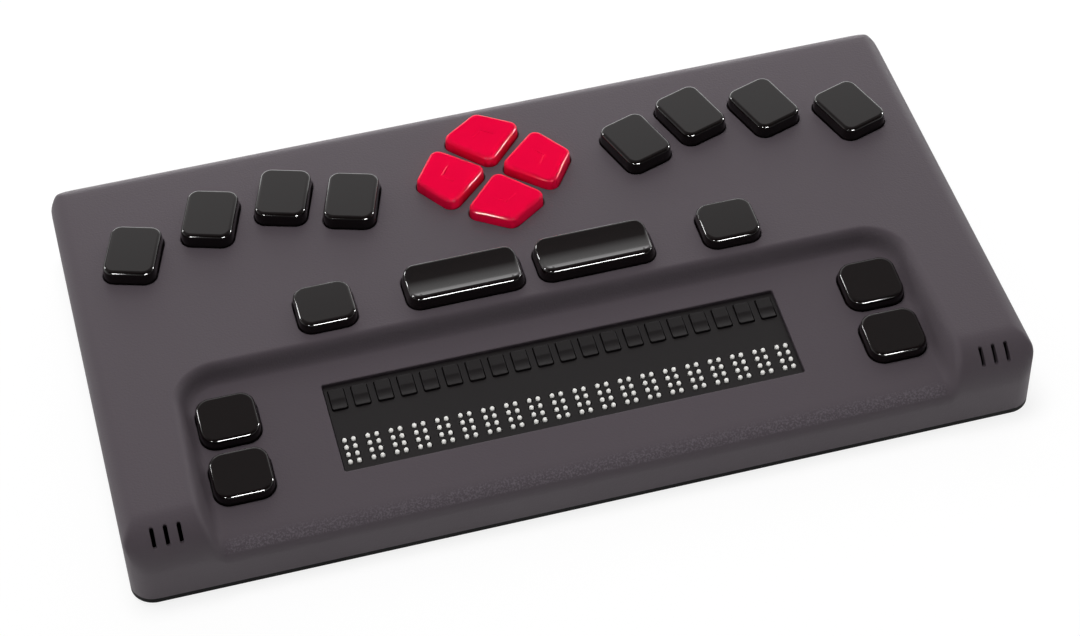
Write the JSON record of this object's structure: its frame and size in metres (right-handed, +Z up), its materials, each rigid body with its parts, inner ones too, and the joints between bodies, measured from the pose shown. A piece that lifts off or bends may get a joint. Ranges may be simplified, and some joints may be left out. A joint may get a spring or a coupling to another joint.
{
  "type": "braille display",
  "caption": "Flat desktop braille display with a sunken reading line of raised pins, routing keys, a chorded braille keyboard and a diamond of arrow keys.",
  "frame": {"origin": "on the table under the middle of the casing, at the underside of the feet", "axes": "+X to the reader's right, along the braille line; +Y away from the reader, to the rear; +Z up"},
  "size_m": [0.2516, 0.1384, 0.0286],
  "materials": {
    "casing_grey": "fine moulded texture",
    "base_black": "matt",
    "cover_black": "satin",
    "routing_black": "satin",
    "key_black": "gloss",
    "key_red": "gloss",
    "pin_white": "satin",
    "cell_resin": "matt",
    "circuit_board": "solder mask",
    "switch_body": "matt",
    "battery_wrap": "satin film",
    "speaker_body": "matt",
    "inlet_steel": "drawn",
    "foot_rubber": "matt",
    "screw_steel": "plated"
  },
  "bodies": {
    "casing": {"upper_shell": "casing_grey", "base_plate": "base_black", "cell_cover": "cover_black", "cell_blocks": "cell_resin", "cell_board": "circuit_board", "key_boards": "circuit_board", "key_switches": "switch_body", "battery": "battery_wrap", "speakers": "speaker_body", "usb_socket": "inlet_steel", "feet": "foot_rubber", "screws": "screw_steel"},
    "dot_key_1": {"dot_key_1": "key_black"},
    "dot_key_2": {"dot_key_2": "key_black"},
    "dot_key_3": {"dot_key_3": "key_black"},
    "dot_key_7": {"dot_key_7": "key_black"},
    "dot_key_4": {"dot_key_4": "key_black"},
    "dot_key_5": {"dot_key_5": "key_black"},
    "dot_key_6": {"dot_key_6": "key_black"},
    "dot_key_8": {"dot_key_8": "key_black"},
    "arrow_key_right": {"arrow_key_right": "key_red"},
    "arrow_key_up": {"arrow_key_up": "key_red"},
    "arrow_key_left": {"arrow_key_left": "key_red"},
    "arrow_key_down": {"arrow_key_down": "key_red"},
    "space_key_left": {"space_key_left": "key_black"},
    "space_key_right": {"space_key_right": "key_black"},
    "function_key_left": {"function_key_left": "key_black"},
    "function_key_right": {"function_key_right": "key_black"},
    "panning_key_left_rear": {"panning_key_left_rear": "key_black"},
    "panning_key_left_front": {"panning_key_left_front": "key_black"},
    "panning_key_right_rear": {"panning_key_right_rear": "key_black"},
    "panning_key_right_front": {"panning_key_right_front": "key_black"},
    "routing_key_01": {"routing_key_01": "routing_black"},
    "routing_key_02": {"routing_key_02": "routing_black"},
    "routing_key_03": {"routing_key_03": "routing_black"},
    "routing_key_04": {"routing_key_04": "routing_black"},
    "routing_key_05": {"routing_key_05": "routing_black"},
    "routing_key_06": {"routing_key_06": "routing_black"},
    "routing_key_07": {"routing_key_07": "routing_black"},
    "routing_key_08": {"routing_key_08": "routing_black"},
    "routing_key_09": {"routing_key_09": "routing_black"},
    "routing_key_10": {"routing_key_10": "routing_black"},
    "routing_key_11": {"routing_key_11": "routing_black"},
    "routing_key_12": {"routing_key_12": "routing_black"},
    "routing_key_13": {"routing_key_13": "routing_black"},
    "routing_key_14": {"routing_key_14": "routing_black"},
    "routing_key_15": {"routing_key_15": "routing_black"},
    "routing_key_16": {"routing_key_16": "routing_black"},
    "routing_key_17": {"routing_key_17": "routing_black"},
    "routing_key_18": {"routing_key_18": "routing_black"},
    "routing_key_19": {"routing_key_19": "routing_black"},
    "routing_key_20": {"routing_key_20": "routing_black"},
    "pins_dot_1": {"pins_dot_1": "pin_white"},
    "pins_dot_2": {"pins_dot_2": "pin_white"},
    "pins_dot_3": {"pins_dot_3": "pin_white"},
    "pins_dot_4": {"pins_dot_4": "pin_white"},
    "pins_dot_5": {"pins_dot_5": "pin_white"},
    "pins_dot_6": {"pins_dot_6": "pin_white"},
    "pins_dot_7": {"pins_dot_7": "pin_white"},
    "pins_dot_8": {"pins_dot_8": "pin_white"}
  },
  "joints": [
    {"name": "dot_key_1_press", "type": "slide", "parent": "casing", "child": "dot_key_1", "axis": [0, 0, -1], "range_m": [0, 0.0015], "stiffness_N_per_m": 350},
    {"name": "dot_key_2_press", "type": "slide", "parent": "casing", "child": "dot_key_2", "axis": [0, 0, -1], "range_m": [0, 0.0015], "stiffness_N_per_m": 350},
    {"name": "dot_key_3_press", "type": "slide", "parent": "casing", "child": "dot_key_3", "axis": [0, 0, -1], "range_m": [0, 0.0015], "stiffness_N_per_m": 350},
    {"name": "dot_key_7_press", "type": "slide", "parent": "casing", "child": "dot_key_7", "axis": [0, 0, -1], "range_m": [0, 0.0015], "stiffness_N_per_m": 350},
    {"name": "dot_key_4_press", "type": "slide", "parent": "casing", "child": "dot_key_4", "axis": [0, 0, -1], "range_m": [0, 0.0015], "stiffness_N_per_m": 350},
    {"name": "dot_key_5_press", "type": "slide", "parent": "casing", "child": "dot_key_5", "axis": [0, 0, -1], "range_m": [0, 0.0015], "stiffness_N_per_m": 350},
    {"name": "dot_key_6_press", "type": "slide", "parent": "casing", "child": "dot_key_6", "axis": [0, 0, -1], "range_m": [0, 0.0015], "stiffness_N_per_m": 350},
    {"name": "dot_key_8_press", "type": "slide", "parent": "casing", "child": "dot_key_8", "axis": [0, 0, -1], "range_m": [0, 0.0015], "stiffness_N_per_m": 350},
    {"name": "arrow_key_right_press", "type": "slide", "parent": "casing", "child": "arrow_key_right", "axis": [0, 0, -1], "range_m": [0, 0.0015], "stiffness_N_per_m": 350},
    {"name": "arrow_key_up_press", "type": "slide", "parent": "casing", "child": "arrow_key_up", "axis": [0, 0, -1], "range_m": [0, 0.0015], "stiffness_N_per_m": 350},
    {"name": "arrow_key_left_press", "type": "slide", "parent": "casing", "child": "arrow_key_left", "axis": [0, 0, -1], "range_m": [0, 0.0015], "stiffness_N_per_m": 350},
    {"name": "arrow_key_down_press", "type": "slide", "parent": "casing", "child": "arrow_key_down", "axis": [0, 0, -1], "range_m": [0, 0.0015], "stiffness_N_per_m": 350},
    {"name": "space_key_left_press", "type": "slide", "parent": "casing", "child": "space_key_left", "axis": [0, 0, -1], "range_m": [0, 0.0015], "stiffness_N_per_m": 350},
    {"name": "space_key_right_press", "type": "slide", "parent": "casing", "child": "space_key_right", "axis": [0, 0, -1], "range_m": [0, 0.0015], "stiffness_N_per_m": 350},
    {"name": "function_key_left_press", "type": "slide", "parent": "casing", "child": "function_key_left", "axis": [0, 0, -1], "range_m": [0, 0.0015], "stiffness_N_per_m": 350},
    {"name": "function_key_right_press", "type": "slide", "parent": "casing", "child": "function_key_right", "axis": [0, 0, -1], "range_m": [0, 0.0015], "stiffness_N_per_m": 350},
    {"name": "panning_key_left_rear_press", "type": "slide", "parent": "casing", "child": "panning_key_left_rear", "axis": [0, 0.0758, -0.9971], "range_m": [0, 0.0015], "stiffness_N_per_m": 350},
    {"name": "panning_key_left_front_press", "type": "slide", "parent": "casing", "child": "panning_key_left_front", "axis": [0, 0.0758, -0.9971], "range_m": [0, 0.0015], "stiffness_N_per_m": 350},
    {"name": "panning_key_right_rear_press", "type": "slide", "parent": "casing", "child": "panning_key_right_rear", "axis": [0, 0.0758, -0.9971], "range_m": [0, 0.0015], "stiffness_N_per_m": 350},
    {"name": "panning_key_right_front_press", "type": "slide", "parent": "casing", "child": "panning_key_right_front", "axis": [0, 0.0758, -0.9971], "range_m": [0, 0.0015], "stiffness_N_per_m": 350},
    {"name": "routing_key_01_press", "type": "slide", "parent": "casing", "child": "routing_key_01", "axis": [0, 0.0758, -0.9971], "range_m": [0, 0.0005], "stiffness_N_per_m": 300},
    {"name": "routing_key_02_press", "type": "slide", "parent": "casing", "child": "routing_key_02", "axis": [0, 0.0758, -0.9971], "range_m": [0, 0.0005], "stiffness_N_per_m": 300},
    {"name": "routing_key_03_press", "type": "slide", "parent": "casing", "child": "routing_key_03", "axis": [0, 0.0758, -0.9971], "range_m": [0, 0.0005], "stiffness_N_per_m": 300},
    {"name": "routing_key_04_press", "type": "slide", "parent": "casing", "child": "routing_key_04", "axis": [0, 0.0758, -0.9971], "range_m": [0, 0.0005], "stiffness_N_per_m": 300},
    {"name": "routing_key_05_press", "type": "slide", "parent": "casing", "child": "routing_key_05", "axis": [0, 0.0758, -0.9971], "range_m": [0, 0.0005], "stiffness_N_per_m": 300},
    {"name": "routing_key_06_press", "type": "slide", "parent": "casing", "child": "routing_key_06", "axis": [0, 0.0758, -0.9971], "range_m": [0, 0.0005], "stiffness_N_per_m": 300},
    {"name": "routing_key_07_press", "type": "slide", "parent": "casing", "child": "routing_key_07", "axis": [0, 0.0758, -0.9971], "range_m": [0, 0.0005], "stiffness_N_per_m": 300},
    {"name": "routing_key_08_press", "type": "slide", "parent": "casing", "child": "routing_key_08", "axis": [0, 0.0758, -0.9971], "range_m": [0, 0.0005], "stiffness_N_per_m": 300},
    {"name": "routing_key_09_press", "type": "slide", "parent": "casing", "child": "routing_key_09", "axis": [0, 0.0758, -0.9971], "range_m": [0, 0.0005], "stiffness_N_per_m": 300},
    {"name": "routing_key_10_press", "type": "slide", "parent": "casing", "child": "routing_key_10", "axis": [0, 0.0758, -0.9971], "range_m": [0, 0.0005], "stiffness_N_per_m": 300},
    {"name": "routing_key_11_press", "type": "slide", "parent": "casing", "child": "routing_key_11", "axis": [0, 0.0758, -0.9971], "range_m": [0, 0.0005], "stiffness_N_per_m": 300},
    {"name": "routing_key_12_press", "type": "slide", "parent": "casing", "child": "routing_key_12", "axis": [0, 0.0758, -0.9971], "range_m": [0, 0.0005], "stiffness_N_per_m": 300},
    {"name": "routing_key_13_press", "type": "slide", "parent": "casing", "child": "routing_key_13", "axis": [0, 0.0758, -0.9971], "range_m": [0, 0.0005], "stiffness_N_per_m": 300},
    {"name": "routing_key_14_press", "type": "slide", "parent": "casing", "child": "routing_key_14", "axis": [0, 0.0758, -0.9971], "range_m": [0, 0.0005], "stiffness_N_per_m": 300},
    {"name": "routing_key_15_press", "type": "slide", "parent": "casing", "child": "routing_key_15", "axis": [0, 0.0758, -0.9971], "range_m": [0, 0.0005], "stiffness_N_per_m": 300},
    {"name": "routing_key_16_press", "type": "slide", "parent": "casing", "child": "routing_key_16", "axis": [0, 0.0758, -0.9971], "range_m": [0, 0.0005], "stiffness_N_per_m": 300},
    {"name": "routing_key_17_press", "type": "slide", "parent": "casing", "child": "routing_key_17", "axis": [0, 0.0758, -0.9971], "range_m": [0, 0.0005], "stiffness_N_per_m": 300},
    {"name": "routing_key_18_press", "type": "slide", "parent": "casing", "child": "routing_key_18", "axis": [0, 0.0758, -0.9971], "range_m": [0, 0.0005], "stiffness_N_per_m": 300},
    {"name": "routing_key_19_press", "type": "slide", "parent": "casing", "child": "routing_key_19", "axis": [0, 0.0758, -0.9971], "range_m": [0, 0.0005], "stiffness_N_per_m": 300},
    {"name": "routing_key_20_press", "type": "slide", "parent": "casing", "child": "routing_key_20", "axis": [0, 0.0758, -0.9971], "range_m": [0, 0.0005], "stiffness_N_per_m": 300},
    {"name": "pins_dot_1_drop", "type": "slide", "parent": "casing", "child": "pins_dot_1", "axis": [0, 0.0758, -0.9971], "range_m": [0, 0.0007], "stiffness_N_per_m": 150},
    {"name": "pins_dot_2_drop", "type": "slide", "parent": "casing", "child": "pins_dot_2", "axis": [0, 0.0758, -0.9971], "range_m": [0, 0.0007], "stiffness_N_per_m": 150},
    {"name": "pins_dot_3_drop", "type": "slide", "parent": "casing", "child": "pins_dot_3", "axis": [0, 0.0758, -0.9971], "range_m": [0, 0.0007], "stiffness_N_per_m": 150},
    {"name": "pins_dot_4_drop", "type": "slide", "parent": "casing", "child": "pins_dot_4", "axis": [0, 0.0758, -0.9971], "range_m": [0, 0.0007], "stiffness_N_per_m": 150},
    {"name": "pins_dot_5_drop", "type": "slide", "parent": "casing", "child": "pins_dot_5", "axis": [0, 0.0758, -0.9971], "range_m": [0, 0.0007], "stiffness_N_per_m": 150},
    {"name": "pins_dot_6_drop", "type": "slide", "parent": "casing", "child": "pins_dot_6", "axis": [0, 0.0758, -0.9971], "range_m": [0, 0.0007], "stiffness_N_per_m": 150},
    {"name": "pins_dot_7_drop", "type": "slide", "parent": "casing", "child": "pins_dot_7", "axis": [0, 0.0758, -0.9971], "range_m": [0, 0.0007], "stiffness_N_per_m": 150},
    {"name": "pins_dot_8_drop", "type": "slide", "parent": "casing", "child": "pins_dot_8", "axis": [0, 0.0758, -0.9971], "range_m": [0, 0.0007], "stiffness_N_per_m": 150}
  ]
}
